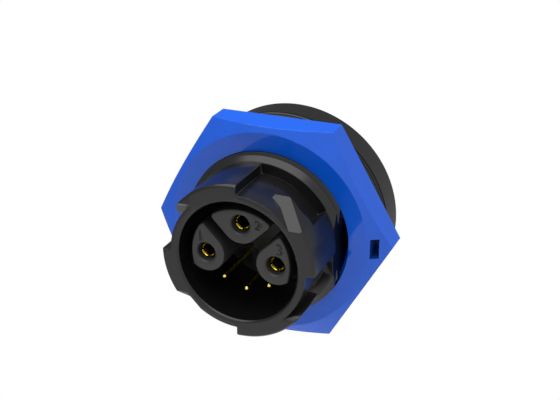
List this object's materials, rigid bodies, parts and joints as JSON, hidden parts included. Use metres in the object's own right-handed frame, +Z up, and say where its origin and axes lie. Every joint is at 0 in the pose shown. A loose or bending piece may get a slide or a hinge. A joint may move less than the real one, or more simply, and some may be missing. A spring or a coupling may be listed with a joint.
{
  "type": "panel-mount circular connector receptacle",
  "caption": "Round panel receptacle with a quarter-turn bayonet shroud around power sockets and signal pins, clamped to a panel by a blue hexagon nut over a gasket.",
  "frame": {"origin": "on the connector's axis at the flange's front face, where the gasket and panel seat", "axes": "-Y along the axis towards the mating face, +Z up through the middle power socket, +X to the right as seen from the mating side"},
  "size_m": [0.037, 0.0278, 0.0324],
  "materials": {
    "black_plastic": "smooth glossy moulded nylon",
    "blue_plastic": "smooth glossy moulded nylon, bright blue",
    "rubber": "matt black rubber",
    "gold_contact": "turned brass with bright gold plating"
  },
  "bodies": {
    "receptacle": {"shell": "black_plastic", "panel_gasket": "rubber", "contact_insert": "black_plastic", "insert_seal": "rubber", "rear_retainer": "black_plastic", "power_socket_1": "gold_contact", "power_socket_2": "gold_contact", "power_socket_3": "gold_contact", "signal_pin_1": "gold_contact", "signal_pin_2": "gold_contact", "signal_pin_3": "gold_contact"},
    "nut": {"panel_nut": "blue_plastic"}
  },
  "joints": [
    {"name": "nut_slide", "type": "slide", "parent": "receptacle", "child": "nut", "axis": [0, -1, 0], "range_m": [0, 0.024]}
  ]
}
